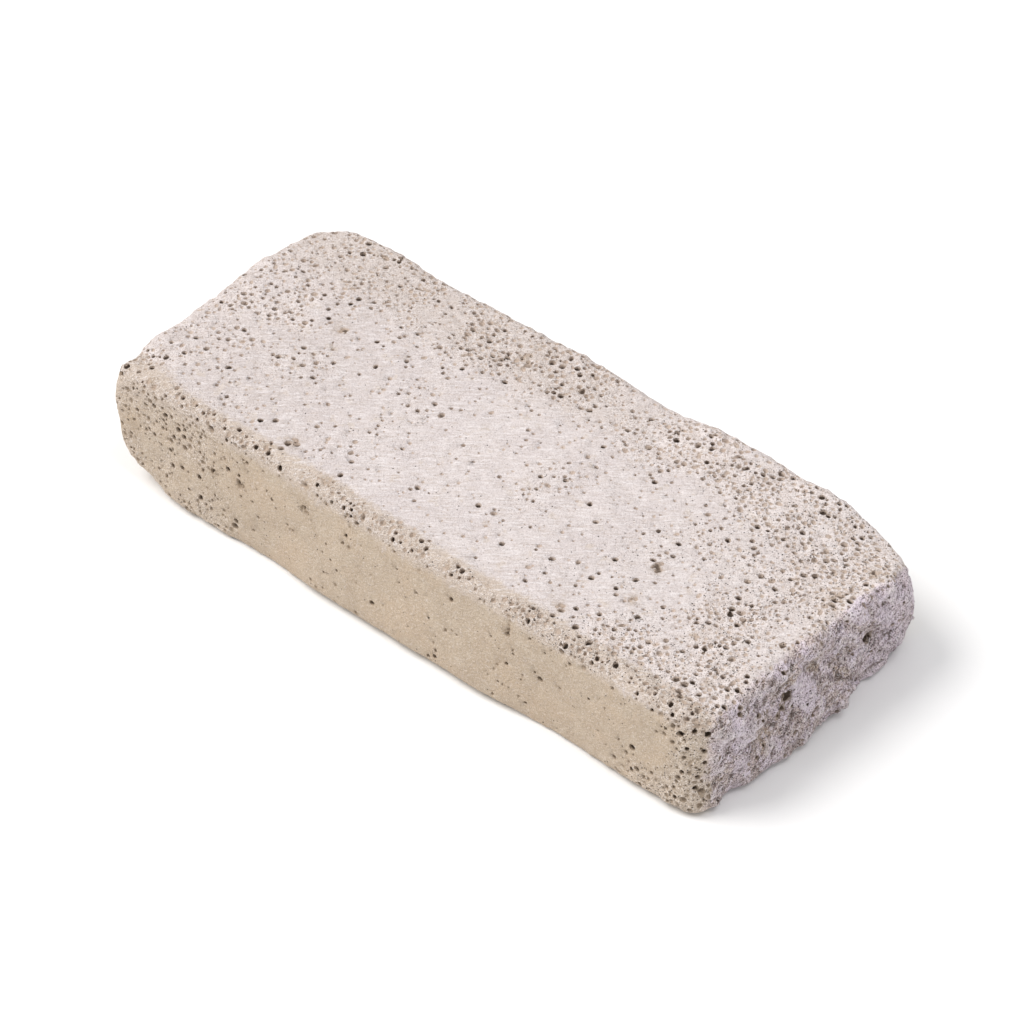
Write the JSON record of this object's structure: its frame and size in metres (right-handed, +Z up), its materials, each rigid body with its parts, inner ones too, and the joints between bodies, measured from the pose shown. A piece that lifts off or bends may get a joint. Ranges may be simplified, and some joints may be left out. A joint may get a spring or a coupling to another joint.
{
  "type": "pumice stone",
  "caption": "Bar of natural pumice for rubbing skin or scouring: a porous block with flat sawn faces, worn corners and one rough broken end.",
  "frame": {"origin": "middle of the flat face it rests on, under the centre of its box", "axes": "+X runs along the bar towards the broken end, +Z up out of the top face, -Y out of the smooth long side"},
  "size_m": [0.1234, 0.0555, 0.0219],
  "materials": {
    "pumice": "dry and matte, pinkish cream with tan sides and a grey-lilac broken end"
  },
  "bodies": {
    "root": {"pumice_stone": "pumice"}
  },
  "joints": []
}
